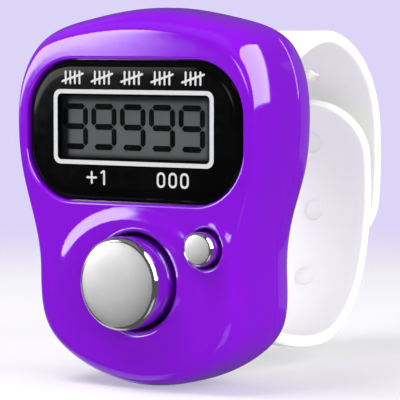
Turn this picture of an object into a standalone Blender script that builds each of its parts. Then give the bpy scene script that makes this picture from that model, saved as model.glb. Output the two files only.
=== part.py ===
"""Finger-ring tally counter: a moulded two-shell case with a display, two press buttons, a button
cell behind a screwed door, and a two-piece silicone strap that closes into a finger loop.

The case frame has X to the right, Y back from the flat front face, and Z up from the lowest point.
All sizes below are millimetres; every mesh is written in metres."""

from math import cos, pi, radians, sin, sqrt

import bmesh
import bpy
import numpy as np

MM = 0.001

# Case
CASE_DEPTH = 11.3
SEAM_DEPTH = 7.3
SEAM_GAP = 0.2
WALL = 1.3
BACK_WALL = 1.2
BACK_ROUNDING = 1.2
FACE_ROUNDING_POWER = 3.1
OUTLINE_STEPS = 3
# Right half of the outline at the seam, and of the flat part of the face, from top to bottom (x, z)
OUTLINE = [(0, 40), (7.8, 38.95), (12.8, 37), (15.05, 33), (15.55, 28), (14.95, 22.6), (13.5, 17.8),
           (12.85, 13.2), (12.9, 9), (12.25, 5.9), (9.6, 3.05), (5.0, 0.8), (0, 0)]
FACE = [(0, 36.4), (7.2, 36), (11.6, 34.2), (13.7, 31.2), (14.2, 27.6), (13.7, 22.4), (12.3, 17.8),
        (11.2, 13.2), (10.9, 9.2), (10.1, 6.8), (8.0, 4.7), (4.2, 3.2), (0, 2.7)]

# Display
LENS_X, LENS_Z = 13.3, 7.4
LENS_CENTRE_Z = 27.1
LENS_CORNER = 5.8
LENS_FRONT, LENS_BACK = 0.2, 0.9
POCKET_FLOOR = 1.25
TRAY_BACK = 1.9
LENS_GAP = 0.15
GLASS_X = 10.4
GLASS_LOW, GLASS_HIGH = 22.3, 31.9
GLASS_LEDGE = 23.7
GAP = 0.25

# Buttons: (x, z) of their axes
COUNT_AT = (0.0, 11.4)
RESET_AT = (8.8, 15.3)
COUNT_RADIUS, COUNT_HOLE = 4.8, 5.2
RESET_RADIUS, RESET_HOLE = 1.75, 2.1
COUNT_FRONT, RESET_FRONT = -3.3, -1.5
FLANGE_FRONT, FLANGE_BACK = 1.5, 2.1
STEM_END = 2.6

# Board and battery
BOARD_FRONT, BOARD_BACK = 5.0, 5.8
CELL_AT = (0.0, 17.0)
CELL_RADIUS = 5.8
CELL_FRONT, CELL_BACK = 6.4, 9.45
WELL_RADIUS, WELL_OUTER = 6.1, 8.0
DOOR_RADIUS = 7.2
DOOR_FRONT, DOOR_BACK = 10.25, 11.25
DOOR_SCREW_AT = (0.0, 26.0)
CASE_SCREWS = [(-8.4, 35.4), (8.4, 35.4), (-9.4, 8.4), (9.4, 8.4)]
BOARD_SCREWS = [(-10.4, 19.3), (10.4, 19.3)]
BOSS_RADIUS = 1.5
PILOT_RADIUS = 0.8
SHANK_RADIUS = 0.6

# Strap: the centre line of each half from the case to its tip (y, z)
STRAP_HALF_WIDTH = 7.0
STRAP_THICKNESS = 1.4
STRAP_TIP_LENGTH = 6.6
UPPER_ROOT_Z, LOWER_ROOT_Z = 30.4, 5.4
UPPER_LINE = [(11.6, UPPER_ROOT_Z), (15, 31.6), (21.9, 35.0), (28.2, 36.95), (33.3, 35.9),
              (37.2, 33.2), (39.6, 29.6), (40.5, 24.5), (40.4, 20), (39.8, 16), (38.7, 11.4)]
LOWER_LINE = [(11.6, LOWER_ROOT_Z), (15, 4.9), (20, 3.6), (25.5, 2.9), (29.8, 3.4), (33.5, 5.7),
              (36.2, 9.4), (37.5, 13.6), (38.15, 17.5), (38.1, 21.5), (37.45, 25.5), (36.2, 29.5)]
BEAD_RADIUS = 1.1
BEAD_DEPTH = 8.75
SLOT_HALF_HEIGHT = 1.0
STUD_RADIUS, STUD_LENGTH = 0.65, 2.0
HOLE_RADIUS = 0.9
FIRST_STUD, STUD_PITCH = 5.0, 8.25
FIRST_HOLE, HOLE_PITCH = 5.05, 8.7

# The assembly's origin is under the middle of its box
STRAP_REACH = 41.2
CASE_Y = -(STRAP_REACH + COUNT_FRONT) / 2

TURNED_SIDES = 28
SMALL_SIDES = 14


# ---------------------------------------------------------------- outlines

def mirrored(half):
    """A closed outline from its right half, whose first and last points are on the middle line."""
    left = [(-x, z) for x, z in reversed(half[1:-1])]
    return np.array(list(half) + left, float)


def smooth_outline(half, steps=OUTLINE_STEPS):
    """Points along the smooth closed curve, a periodic cubic spline, through a mirrored outline."""
    knots = mirrored(half)
    count = len(knots)
    spans = np.linalg.norm(np.roll(knots, -1, 0) - knots, axis=1)
    system = np.zeros((count, count))
    slopes = (np.roll(knots, -1, 0) - knots) / spans[:, None]
    for i in range(count):
        system[i, i - 1] = spans[i - 1]
        system[i, i] = 2 * (spans[i - 1] + spans[i])
        system[i, (i + 1) % count] = spans[i]
    bend = np.linalg.solve(system, 6 * (slopes - np.roll(slopes, 1, 0)))
    points = []
    for i in range(count):
        j = (i + 1) % count
        for b in np.arange(steps) / steps:
            a = 1 - b
            curve = (a**3 - a) * bend[i] + (b**3 - b) * bend[j]
            points.append(a * knots[i] + b * knots[j] + spans[i] ** 2 / 6 * curve)
    return np.array(points)


def inset(outline, amount):
    """An outline moved inward along its own normals."""
    along = np.roll(outline, -1, 0) - np.roll(outline, 1, 0)
    normal = np.stack([along[:, 1], -along[:, 0]], 1)
    normal /= np.linalg.norm(normal, axis=1)[:, None]
    return outline + normal * amount


def case_outline(depth, amount=0.0):
    """The case's outside at a depth behind the face, moved inward by an amount."""
    face, full = smooth_outline(FACE), smooth_outline(OUTLINE)
    left = 1 - min(max(depth / SEAM_DEPTH, 0), 1)
    share = (1 - left**FACE_ROUNDING_POWER) ** (1 / FACE_ROUNDING_POWER)
    return inset(face + (full - face) * share, amount)


def rounded_rectangle(centre, half_x, half_z, corner, steps=6):
    """A rectangle with round corners, as (x, z) points."""
    points = []
    for k, (sx, sz) in enumerate([(1, 1), (-1, 1), (-1, -1), (1, -1)]):
        for step in range(steps + 1):
            turn = (k + step / steps) * pi / 2
            x = centre[0] + sx * (half_x - corner) + corner * cos(turn)
            z = centre[1] + sz * (half_z - corner) + corner * sin(turn)
            points.append((x, z))
    return np.array(points)


def circle(centre, radius, sides):
    turns = np.arange(sides) * 2 * pi / sides
    return np.stack([centre[0] + radius * np.cos(turns), centre[1] + radius * np.sin(turns)], 1)


# ---------------------------------------------------------------- building

def material(name, colour, roughness, metallic=0.0, alpha=1.0):
    made = bpy.data.materials.new(name)
    made.use_nodes = True
    shader = made.node_tree.nodes["Principled BSDF"]
    shader.inputs["Base Color"].default_value = (*colour, 1)
    shader.inputs["Roughness"].default_value = roughness
    shader.inputs["Metallic"].default_value = metallic
    shader.inputs["Alpha"].default_value = alpha
    made.diffuse_color = (*colour, alpha)
    return made


def loft(name, rings, finish=None, origin=(0, 0, 0), parent=None):
    """One closed body through rings of points in the case frame, capped at both ends."""
    origin = np.array(origin, float)
    mesh = bpy.data.meshes.new(name)
    shape = bmesh.new()
    rows = [[shape.verts.new((np.array(p, float) - origin) * MM) for p in ring] for ring in rings]
    for near, far in zip(rows[:-1], rows[1:]):
        for i in range(len(near)):
            j = (i + 1) % len(near)
            shape.faces.new((near[i], near[j], far[j], far[i]))
    shape.faces.new(rows[0])
    shape.faces.new(rows[-1])
    bmesh.ops.recalc_face_normals(shape, faces=shape.faces)
    shape.to_mesh(mesh)
    shape.free()
    mesh.shade_smooth()
    mesh.set_sharp_from_angle(angle=radians(35))
    made = bpy.data.objects.new(name, mesh)
    bpy.context.scene.collection.objects.link(made)
    made.parent = parent or ASSEMBLY
    parent_origin = np.array(PLACES.get(parent.name, (0, 0, 0)) if parent else (0, 0, 0), float)
    made.location = (origin - parent_origin) * MM
    PLACES[name] = tuple(origin)
    if finish:
        mesh.materials.append(finish)
    else:
        made.hide_render = True
        made.display_type = "WIRE"
    return made


def at_depth(outline, depth):
    """An (x, z) outline as a ring of points at one depth."""
    return [(x, depth, z) for x, z in outline]


def prism(name, outline, front, back, finish=None, **placed):
    return loft(name, [at_depth(outline, front), at_depth(outline, back)], finish, **placed)


def block(name, x, y, z, finish=None, **placed):
    corners = [(x[0], z[0]), (x[1], z[0]), (x[1], z[1]), (x[0], z[1])]
    return prism(name, corners, y[0], y[1], finish, **placed)


def turned(name, centre, profile, finish=None, sides=TURNED_SIDES, **placed):
    """A body of revolution about the Y line through centre, from (radius, depth) points."""
    rings = [at_depth(circle(centre, radius, sides), depth) for radius, depth in profile]
    return loft(name, rings, finish, **placed)


def pin(name, centre, radius, front, back, finish=None, sides=SMALL_SIDES, **placed):
    return turned(name, centre, [(radius, front), (radius, back)], finish, sides, **placed)


def combine(target, operation, *others):
    """Cuts others from target, or joins them to it."""
    for other in others:
        step = target.modifiers.new(other.name, "BOOLEAN")
        step.operation = operation
        step.object = other
    return target


def cut(target, *others):
    return combine(target, "DIFFERENCE", *others)


def join(target, *others):
    return combine(target, "UNION", *others)


# ---------------------------------------------------------------- case

def lens_outline(grow=0.0):
    return rounded_rectangle((0, LENS_CENTRE_Z), LENS_X + grow, LENS_Z + grow, LENS_CORNER + grow)


def front_case():
    """The front shell: a crowned cup with a lens pocket, two collars and six screw bosses."""
    steps = 7
    rings = []
    for k in range(steps):
        left = cos(k / (steps - 1) * pi / 2) ** (2 / FACE_ROUNDING_POWER)
        depth = SEAM_DEPTH * (1 - left)
        rings.append(at_depth(case_outline(depth), depth))
    rings.append(at_depth(case_outline(SEAM_DEPTH, WALL), SEAM_DEPTH))
    for depth in (4.6, 3.0, 2.3, TRAY_BACK):
        rings.append(at_depth(case_outline(depth - WALL, WALL), depth))
    shell = loft("front_case", rings, PURPLE)

    lower = [point for point in case_outline(0.6, 1.1) if point[1] < 18.6]
    cut(shell, prism("lower_face_relief", lower, WALL, TRAY_BACK + 0.2))
    join(shell, turned("count_collar", COUNT_AT, [(8.0, 0.4), (8.0, -0.05), (7.4, -0.35), (6.4, -0.45)]))
    join(shell, turned("reset_collar", RESET_AT, [(3.1, 0.4), (3.1, -0.05), (2.8, -0.2)]))
    for k, centre in enumerate(BOARD_SCREWS):
        join(shell, pin(f"board_boss_{k}", centre, BOSS_RADIUS, TRAY_BACK - 0.3, BOARD_FRONT - 0.15))
    for k, centre in enumerate(CASE_SCREWS):
        join(shell, pin(f"case_boss_{k}", centre, BOSS_RADIUS, TRAY_BACK - 0.5, SEAM_DEPTH - 1.0))
    for k, centre in enumerate(BOARD_SCREWS + CASE_SCREWS):
        cut(shell, pin(f"pilot_{k}", centre, PILOT_RADIUS, 2.5, SEAM_DEPTH))

    cut(shell, prism("lens_pocket", lens_outline(LENS_GAP), -1, POCKET_FLOOR))
    cut(shell, prism("display_aperture", rounded_rectangle((0, LENS_CENTRE_Z), 10.9, 5.3, 0.8), 0.5, 3))
    cut(shell, turned("count_hole", COUNT_AT, [(COUNT_HOLE, -2), (COUNT_HOLE, 3)]))
    cut(shell, pin("reset_hole", RESET_AT, RESET_HOLE, -2, 3, sides=20))
    return shell


def rear_case():
    """The rear shell: a locating lip, a battery well under a recessed door, slots for the strap."""
    seam = SEAM_DEPTH + SEAM_GAP
    floor = CASE_DEPTH - BACK_WALL
    rings = [(floor, 2.4), (seam - 1.0, 2.4), (seam - 1.0, WALL + GAP), (seam, WALL + GAP), (seam, 0)]
    for degrees in (30, 50, 70, 90):
        turn = radians(degrees)
        depth = SEAM_DEPTH + (CASE_DEPTH - SEAM_DEPTH) * sin(turn)
        rings.append((depth, BACK_ROUNDING * (1 - cos(turn))))
    full = smooth_outline(OUTLINE)
    shell = loft("rear_case", [at_depth(inset(full, amount), depth) for depth, amount in rings], PURPLE)

    join(shell, turned("battery_well", CELL_AT, [(WELL_OUTER, CELL_FRONT), (WELL_OUTER, floor + 0.4)]))
    join(shell, pin("door_screw_boss", DOOR_SCREW_AT, 2.2, 7.4, floor + 0.4))
    for k, centre in enumerate(CASE_SCREWS):
        join(shell, pin(f"rear_boss_{k}", centre, BOSS_RADIUS, seam - 1.0, floor + 0.4))
        cut(shell, pin(f"rear_clearance_{k}", centre, PILOT_RADIUS, 5, 12))
        cut(shell, pin(f"rear_counterbore_{k}", centre, 1.35, floor + 0.2, 12))

    cut(shell, turned("well_bore", CELL_AT, [(WELL_RADIUS, 5), (WELL_RADIUS, 11)]))
    cut(shell, turned("door_recess", CELL_AT, [(DOOR_RADIUS + 0.2, DOOR_FRONT - 0.1), (DOOR_RADIUS + 0.2, 12)]))
    cut(shell, prism("tab_recess", door_tab(0.2), DOOR_FRONT - 0.1, 12))
    cut(shell, pin("door_screw_pilot", DOOR_SCREW_AT, PILOT_RADIUS, 7, 11))
    cut(shell, block("contact_notch", (-8.5, -5.5), (5, 9.6), (CELL_AT[1] - 1.5, CELL_AT[1] + 1.5)))
    for name, middle in (("upper_slot", UPPER_ROOT_Z), ("lower_slot", LOWER_ROOT_Z)):
        width = STRAP_HALF_WIDTH + 0.3
        span = (middle - SLOT_HALF_HEIGHT, middle + SLOT_HALF_HEIGHT)
        cut(shell, block(name, (-width, width), (floor - 1, 12), span))
    return shell


# ---------------------------------------------------------------- display

def display():
    prism("display_lens", lens_outline(), LENS_FRONT, LENS_BACK, LENS_BLACK)
    ring = prism("lens_adhesive", lens_outline(-0.4), LENS_BACK + 0.08, POCKET_FLOOR - 0.08, ADHESIVE)
    cut(ring, prism("adhesive_window", rounded_rectangle((0, LENS_CENTRE_Z), 11.2, 5.6, 1.6), 0, 3))

    frame = block("lcd_frame", (-12, 12), (2.05, 4.8), (21.15, 33.05), BLACK_PLASTIC)
    cut(frame, block("glass_seat", (-10.7, 10.7), (1, 2.8), (22.0, 32.2)))
    cut(frame, block("chip_room", (-10.7, 10.7), (3.4, 6), (24.4, 32.2)))
    cut(frame, block("zebra_slot", (-9.8, 9.8), (1, 6), (22.15, 23.65)))

    sheets = [("lcd_front_polarizer", 1.05, 1.2, 23.9, POLARIZER), ("lcd_front_glass", 1.3, 1.8, GLASS_LOW, GLASS),
              ("lcd_rear_glass", 1.9, 2.4, GLASS_LEDGE, GLASS), ("lcd_reflector", 2.5, 2.65, GLASS_LEDGE, REFLECTOR)]
    for name, front, back, low, finish in sheets:
        block(name, (-GLASS_X, GLASS_X), (front, back), (low, GLASS_HIGH), finish)
    block("zebra_connector", (-9.5, 9.5), (1.95, BOARD_FRONT - 0.15), (22.4, 23.4), ELASTOMER)


# ---------------------------------------------------------------- electronics

def circuit_board():
    outline = case_outline(SEAM_DEPTH, WALL + 0.6)
    outline[:, 1] = np.clip(outline[:, 1], 4.6, 33.5)
    board = prism("circuit_board", outline, BOARD_FRONT, BOARD_BACK, BOARD)
    for k, centre in enumerate(CASE_SCREWS[2:]):
        cut(board, pin(f"board_notch_{k}", centre, BOSS_RADIUS + 0.3, 4, 7))
    for k, centre in enumerate(BOARD_SCREWS):
        cut(board, pin(f"board_hole_{k}", centre, PILOT_RADIUS + 0.1, 4, 7))

    surface = BOARD_FRONT - 0.05
    turned("chip_blob", (-2.5, 28.2), [(3.3, surface), (2.9, 4.6), (1.6, 4.3)], EPOXY, sides=20)
    block("smd_capacitor", (5.6, 7.2), (4.2, surface), (25.6, 26.5), CERAMIC)
    block("smd_resistor", (5.6, 7.2), (4.4, surface), (28.6, 29.5), BLACK_PLASTIC)


def keypad_membrane():
    """Rubber sheet on the board with a hollow dome under each button."""
    front, back = 4.35, BOARD_FRONT - 0.2
    sheet = pin("keypad_membrane", COUNT_AT, 6.3, front, back, RUBBER, sides=TURNED_SIDES)
    join(sheet, block("membrane_bridge", (4, 8.8), (front, back), (13.4, 16.4)))
    join(sheet, pin("membrane_pad", RESET_AT, 2.45, front, back, sides=20))
    join(sheet, turned("count_dome", COUNT_AT, [(3.3, back - 0.1), (3.3, front), (2.2, 2.75)]))
    join(sheet, turned("reset_dome", RESET_AT, [(1.9, back - 0.1), (1.9, front), (1.2, 2.75)], sides=20))
    cut(sheet, turned("count_dome_hollow", COUNT_AT, [(2.6, 6), (2.6, front), (1.7, 3.35)]))
    cut(sheet, turned("reset_dome_hollow", RESET_AT, [(1.4, 6), (1.4, front), (0.95, 3.35)], sides=20))


def screw(name, centre, head_back, head_radius, end, parent=None):
    """A pan-head screw driven from the back, with a cross slot in its head."""
    head_front = head_back - 0.65
    profile = [(0.35, end), (SHANK_RADIUS, end + 0.5), (SHANK_RADIUS, head_front),
               (head_radius, head_front), (head_radius, head_back - 0.2), (head_radius - 0.25, head_back)]
    origin = (centre[0], head_back, centre[1])
    made = turned(name, centre, profile, STEEL, SMALL_SIDES, origin=origin, parent=parent)
    reach = head_radius * 0.6
    for label, wide, tall in (("slot_x", reach, 0.14), ("slot_z", 0.14, reach)):
        x, z = (centre[0] - wide, centre[0] + wide), (centre[1] - tall, centre[1] + tall)
        cut(made, block(f"{name}_{label}", x, (head_back - 0.3, 12), z))
    return made


# ---------------------------------------------------------------- buttons

def buttons():
    r, f = COUNT_RADIUS, COUNT_FRONT
    profile = [(3.4, f), (r - 0.45, f + 0.12), (r - 0.1, f + 0.4), (r, f + 0.9), (r, FLANGE_FRONT),
               (5.9, FLANGE_FRONT), (5.9, FLANGE_BACK), (r - 0.9, FLANGE_BACK), (r - 0.9, f + 1.1),
               (2.0, f + 1.1), (2.0, STEM_END)]
    count = turned("count_button", COUNT_AT, profile, CHROME, 36, origin=(COUNT_AT[0], f, COUNT_AT[1]))
    turned("count_contact_pill", COUNT_AT, [(1.4, 3.5), (1.4, 3.9)], CARBON, 20, parent=count,
           origin=(COUNT_AT[0], 3.5, COUNT_AT[1]))

    r, f = RESET_RADIUS, RESET_FRONT
    profile = [(1.1, f), (r - 0.2, f + 0.1), (r, f + 0.4), (r, FLANGE_FRONT), (2.4, FLANGE_FRONT),
               (2.4, FLANGE_BACK), (1.1, FLANGE_BACK), (1.1, STEM_END)]
    reset = turned("reset_button", RESET_AT, profile, CHROME, 24, origin=(RESET_AT[0], f, RESET_AT[1]))
    turned("reset_contact_pill", RESET_AT, [(0.7, 3.5), (0.7, 3.9)], CARBON, 16, parent=reset,
           origin=(RESET_AT[0], 3.5, RESET_AT[1]))


# ---------------------------------------------------------------- battery

def door_tab(grow=0.0):
    """The door's screw tab, up to and round its screw."""
    return rounded_rectangle((0, 24.4), 2.3 + grow, 3.7 + grow, 2.2 + grow, steps=4)


def battery():
    r = CELL_RADIUS
    turned("button_cell", CELL_AT, [(4.6, CELL_FRONT), (5.3, CELL_FRONT + 0.1), (5.35, CELL_FRONT + 0.4),
                                    (r, CELL_FRONT + 0.5), (r, CELL_BACK - 0.2), (r - 0.2, CELL_BACK)], STEEL)
    turned("battery_contact_negative", CELL_AT, [(2.6, 5.9), (2.6, 6.0), (1.0, 6.25)], STEEL, 20)
    low, high = CELL_AT[1] - 1.2, CELL_AT[1] + 1.2
    leaf = block("battery_contact_positive", (-6.4, -6.15), (5.95, 9.3), (low, high), STEEL)
    join(leaf, block("contact_foot", (-7.6, -6.2), (5.95, 6.2), (low, high)))

    origin = (CELL_AT[0], DOOR_BACK, CELL_AT[1])
    door = turned("battery_door", CELL_AT, [(DOOR_RADIUS, DOOR_FRONT), (DOOR_RADIUS, DOOR_BACK - 0.15),
                                            (DOOR_RADIUS - 0.2, DOOR_BACK)], PURPLE, 36, origin=origin)
    join(door, prism("door_tab", door_tab(), DOOR_FRONT, DOOR_BACK))
    join(door, turned("door_press_ring", CELL_AT, [(5.6, 9.65), (5.6, 10.5)]))
    cut(door, turned("door_press_hollow", CELL_AT, [(4.6, 9), (4.6, DOOR_FRONT)]))
    cut(door, pin("door_screw_hole", DOOR_SCREW_AT, PILOT_RADIUS, 9, 12))
    cut(door, pin("door_screw_recess", DOOR_SCREW_AT, 1.45, DOOR_BACK - 0.7, 12))
    for k in (-1, 0, 1):
        low = CELL_AT[1] - 4.2 + k * 0.9
        cut(door, block(f"door_grip_{k + 1}", (-2, 2), (DOOR_BACK - 0.25, 12), (low - 0.2, low + 0.2)))
    screw("battery_door_screw", DOOR_SCREW_AT, DOOR_BACK, 1.2, 7.9, parent=door)


# ---------------------------------------------------------------- strap

def smooth_line(knots, spacing=1.6, tip=STRAP_TIP_LENGTH):
    """Points and tangents on a cubic spline through open knots, even but for the closer ones at the tip."""
    knots = np.array(knots, float)
    count = len(knots)
    spans = np.linalg.norm(np.diff(knots, axis=0), axis=1)
    slopes = np.diff(knots, axis=0) / spans[:, None]
    system, side = np.eye(count), np.zeros((count, 2))
    for i in range(1, count - 1):
        system[i, i - 1:i + 2] = spans[i - 1], 2 * (spans[i - 1] + spans[i]), spans[i]
        side[i] = 6 * (slopes[i] - slopes[i - 1])
    bend = np.linalg.solve(system, side)
    fine = []
    for i in range(count - 1):
        for b in np.arange(40) / 40:
            a = 1 - b
            curve = (a**3 - a) * bend[i] + (b**3 - b) * bend[i + 1]
            fine.append(a * knots[i] + b * knots[i + 1] + spans[i] ** 2 / 6 * curve)
    fine = np.array(fine + [knots[-1]])
    run = np.concatenate([[0], np.cumsum(np.linalg.norm(np.diff(fine, axis=0), axis=1))])
    even = np.linspace(0, run[-1] - tip, int((run[-1] - tip) / spacing) + 1)
    places = np.concatenate([even, run[-1] - tip + tip * np.sin(np.radians([18, 36, 54, 68, 80, 90]))])
    points = np.stack([np.interp(places, run, fine[:, k]) for k in (0, 1)], 1)
    tangents = np.gradient(points, places, axis=0)
    tangents /= np.linalg.norm(tangents, axis=1)[:, None]
    return places, points, tangents


def across(point, tangent, half_width, offset):
    """Two points at one offset from the strap's centre line: its left and right edges."""
    y, z = point[0] + tangent[1] * offset, point[1] - tangent[0] * offset
    return [(-half_width, y, z), (half_width, y, z)]


def strap(name, knots, root_z):
    """A strap half: a bead trapped in the case, a neck through the slot, and a band with a round tip."""
    places, points, tangents = smooth_line([(BEAD_DEPTH, root_z), (10.2, root_z)] + knots)
    length = places[-1]
    rings = []
    for place, point, tangent in zip(places, points, tangents):
        past = max(0, place - (length - STRAP_TIP_LENGTH)) / STRAP_TIP_LENGTH
        half = STRAP_HALF_WIDTH * sqrt(max(1 - past**2, 0.01))
        half_thick = STRAP_THICKNESS / 2
        left_in, right_in = across(point, tangent, half, -half_thick)
        left_out, right_out = across(point, tangent, half, half_thick)
        rings.append([left_in, right_in, right_out, left_out])
    band = loft(name, rings, SILICONE, origin=(0, knots[0][0], root_z))
    turns = np.arange(SMALL_SIDES) * 2 * pi / SMALL_SIDES
    bead = [[(x, BEAD_DEPTH + BEAD_RADIUS * cos(t), root_z + BEAD_RADIUS * sin(t)) for t in turns]
            for x in (-STRAP_HALF_WIDTH + 0.05, STRAP_HALF_WIDTH - 0.05)]
    join(band, loft(f"{name}_bead", bead))
    return band, places, points, tangents


def round_bar(name, point, tangent, radius, start, end, sides=12):
    """A round bar through the strap along its normal, on the middle line."""
    turns = np.arange(sides) * 2 * pi / sides
    rings = []
    for offset in (start, end):
        ring = []
        for t in turns:
            lift = radius * sin(t)
            y = point[0] + tangent[1] * offset + tangent[0] * lift
            z = point[1] - tangent[0] * offset + tangent[1] * lift
            ring.append((radius * cos(t), y, z))
        rings.append(ring)
    return loft(name, rings)


def straps():
    """The upper half carries three holes, the lower half three studs that press into them."""
    band, places, points, tangents = strap("upper_strap", UPPER_LINE, UPPER_ROOT_Z)
    for k in range(3):
        place = places[-1] - FIRST_HOLE - k * HOLE_PITCH
        at, along = station(place, places, points, tangents)
        cut(band, round_bar(f"strap_hole_{k}", at, along, HOLE_RADIUS, -2, 2))
    band, places, points, tangents = strap("lower_strap", LOWER_LINE, LOWER_ROOT_Z)
    for k in range(3):
        place = places[-1] - FIRST_STUD - k * STUD_PITCH
        at, along = station(place, places, points, tangents)
        outer = STRAP_THICKNESS / 2
        join(band, round_bar(f"strap_stud_{k}", at, along, STUD_RADIUS, 0.1, outer + STUD_LENGTH))


def station(place, places, points, tangents):
    """The point and tangent of a strap at a distance along it."""
    at = np.array([np.interp(place, places, points[:, k]) for k in (0, 1)])
    along = np.array([np.interp(place, places, tangents[:, k]) for k in (0, 1)])
    return at, along / np.linalg.norm(along)


# ---------------------------------------------------------------- assembly

for old in list(bpy.data.objects):
    bpy.data.objects.remove(old)

PURPLE = material("purple_abs", (0.26, 0.01, 0.70), 0.18)
LENS_BLACK = material("lens_black", (0.006, 0.006, 0.008), 0.08)
CHROME = material("satin_chrome", (0.80, 0.80, 0.83), 0.22, 1.0)
BLACK_PLASTIC = material("black_plastic", (0.02, 0.02, 0.022), 0.5)
POLARIZER = material("polarizer", (0.25, 0.27, 0.24), 0.3)
GLASS = material("display_glass", (0.75, 0.80, 0.76), 0.05, alpha=0.5)
REFLECTOR = material("reflector", (0.45, 0.47, 0.43), 0.4)
ELASTOMER = material("zebra_rubber", (0.85, 0.45, 0.50), 0.6)
ADHESIVE = material("adhesive", (0.75, 0.72, 0.62), 0.8)
BOARD = material("board_green", (0.02, 0.22, 0.09), 0.4)
EPOXY = material("epoxy_black", (0.01, 0.01, 0.01), 0.35)
CERAMIC = material("ceramic_tan", (0.55, 0.42, 0.28), 0.5)
RUBBER = material("keypad_rubber", (0.62, 0.63, 0.65), 0.7)
CARBON = material("carbon_pill", (0.02, 0.02, 0.02), 0.8)
STEEL = material("steel", (0.62, 0.62, 0.64), 0.3, 1.0)
SILICONE = material("white_silicone", (0.88, 0.88, 0.92), 0.4, alpha=0.85)

PLACES = {}
ASSEMBLY = bpy.data.objects.new("assembly", None)
bpy.context.scene.collection.objects.link(ASSEMBLY)
ASSEMBLY.location = (0, CASE_Y * MM, 0)

front_case()
rear_case()
display()
circuit_board()
keypad_membrane()
buttons()
battery()
for side, centre in zip(("left", "right"), BOARD_SCREWS):
    screw(f"pcb_screw_{side}", centre, 6.5, 1.2, 2.7)
for number, centre in enumerate(CASE_SCREWS, 1):
    screw(f"case_screw_{number}", centre, 11.1, 1.1, 3.2)
straps()
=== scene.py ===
"""Looks of the finger tally counter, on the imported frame.

Shapes are worked in the case frame, in millimetres: X to the right, Y back from the flat front
face, Z up from the case's lowest point. place() turns that into the row frame in metres."""

from math import cos, pi, radians, sin, sqrt

import bmesh
import bpy
import numpy as np
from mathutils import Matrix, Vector
from mathutils.geometry import delaunay_2d_cdt


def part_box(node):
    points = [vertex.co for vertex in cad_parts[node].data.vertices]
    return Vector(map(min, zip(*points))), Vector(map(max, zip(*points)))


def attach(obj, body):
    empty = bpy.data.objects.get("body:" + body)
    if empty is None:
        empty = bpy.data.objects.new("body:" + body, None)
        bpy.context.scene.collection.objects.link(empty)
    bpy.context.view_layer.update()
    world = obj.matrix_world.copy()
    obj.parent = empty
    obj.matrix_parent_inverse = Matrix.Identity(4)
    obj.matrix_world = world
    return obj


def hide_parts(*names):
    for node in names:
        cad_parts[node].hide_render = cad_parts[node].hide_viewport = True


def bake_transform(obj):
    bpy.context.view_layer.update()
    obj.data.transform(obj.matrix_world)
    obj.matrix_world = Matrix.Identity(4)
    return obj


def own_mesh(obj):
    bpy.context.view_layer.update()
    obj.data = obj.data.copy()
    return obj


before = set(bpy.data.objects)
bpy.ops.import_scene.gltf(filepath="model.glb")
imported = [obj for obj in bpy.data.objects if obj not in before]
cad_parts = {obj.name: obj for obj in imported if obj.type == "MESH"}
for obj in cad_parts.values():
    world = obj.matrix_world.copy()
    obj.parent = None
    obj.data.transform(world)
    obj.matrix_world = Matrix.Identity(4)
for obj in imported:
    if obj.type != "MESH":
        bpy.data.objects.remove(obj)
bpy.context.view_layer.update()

MM = 0.001
CASE_DEPTH, SEAM_DEPTH = 11.3, 7.3
FACE_POWER = 3.1
BOSS_RISE, BOSS_WIDE, BOSS_TALL, BOSS_SMALL = 0.19, 10.1, 7.6, 3.6
BOSS_SLOPE, SMALL_SLOPE, BOSS_BLEND = 0.19, 1.5, 6
OUTLINE = [(0, 40), (7.8, 38.95), (12.8, 37), (15.05, 33), (15.55, 28), (14.95, 22.6), (13.5, 17.8),
           (12.85, 13.2), (12.9, 9), (12.25, 5.9), (9.6, 3.05), (5.0, 0.8), (0, 0)]
FACE = [(0, 36.4), (7.2, 36), (11.95, 34.2), (13.95, 31.2), (14.45, 27.6), (13.9, 22.4), (12.6, 17.8),
        (11.5, 13.2), (11.15, 9.2), (10.25, 6.8), (8.1, 4.7), (4.2, 3.2), (0, 2.7)]


def middle(node):
    """The centre of a CAD node, in the case frame in millimetres."""
    low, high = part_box(node)
    return (np.array(low) + np.array(high)) / 2 / MM - ORIGIN


BACK_BOX = [np.array(corner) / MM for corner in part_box("rear_case")]
ORIGIN = np.array([0, BACK_BOX[1][1] - CASE_DEPTH, BACK_BOX[0][2]])
COUNT_AT = middle("count_button")[[0, 2]]
RESET_AT = middle("reset_button")[[0, 2]]
FACE_SHIFT = [0.25, 0]
LENS_AT = middle("display_lens")[[0, 2]] - FACE_SHIFT
DOOR_AT = middle("button_cell")[[0, 2]]
DOOR_SCREW_AT = middle("battery_door_screw")[[0, 2]]
SCREWS_AT = [middle(f"case_screw_{k}")[[0, 2]] for k in (1, 2, 3, 4)]
COUNT_HOLE, RESET_HOLE, LENS_RIM = 5.2, 2.1, 0.25
LENS_HALF_X, LENS_HALF_Z, LENS_CORNER = 13.5, 7.4, 5.8
WALL, BACK_ROUNDING = 1.3, 1.2
DOOR_RADIUS, TAB_HALF, DOOR_FACE, DOOR_BACK, DOOR_LEDGE = 7.2, 2.3, 11.25, 10.3, 10.15
WELL_RADIUS, RING_OUTER, RING_INNER = 6.25, 5.6, 4.6
RECESS_RADIUS, PILOT_RADIUS = 1.35, 0.8
BOSS_AT, SMALL_AT = COUNT_AT + [-0.35, 0.3], RESET_AT + [1.0, -0.75]
UPPER_ROOT_Z, LOWER_ROOT_Z = 30.4, 5.4
STRAP_HALF_WIDTH, STRAP_THICKNESS, STRAP_TIP = 7.0, 1.4, 6.6
UPPER_LINE = [(9.4, 30.4), (11.6, 30.4), (15, 31.6), (21.9, 35.0), (28.2, 36.95), (33.3, 35.9),
              (37.2, 33.2), (39.6, 29.6), (40.5, 24.5), (40.4, 20), (39.8, 16), (38.7, 11.4)]
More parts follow.
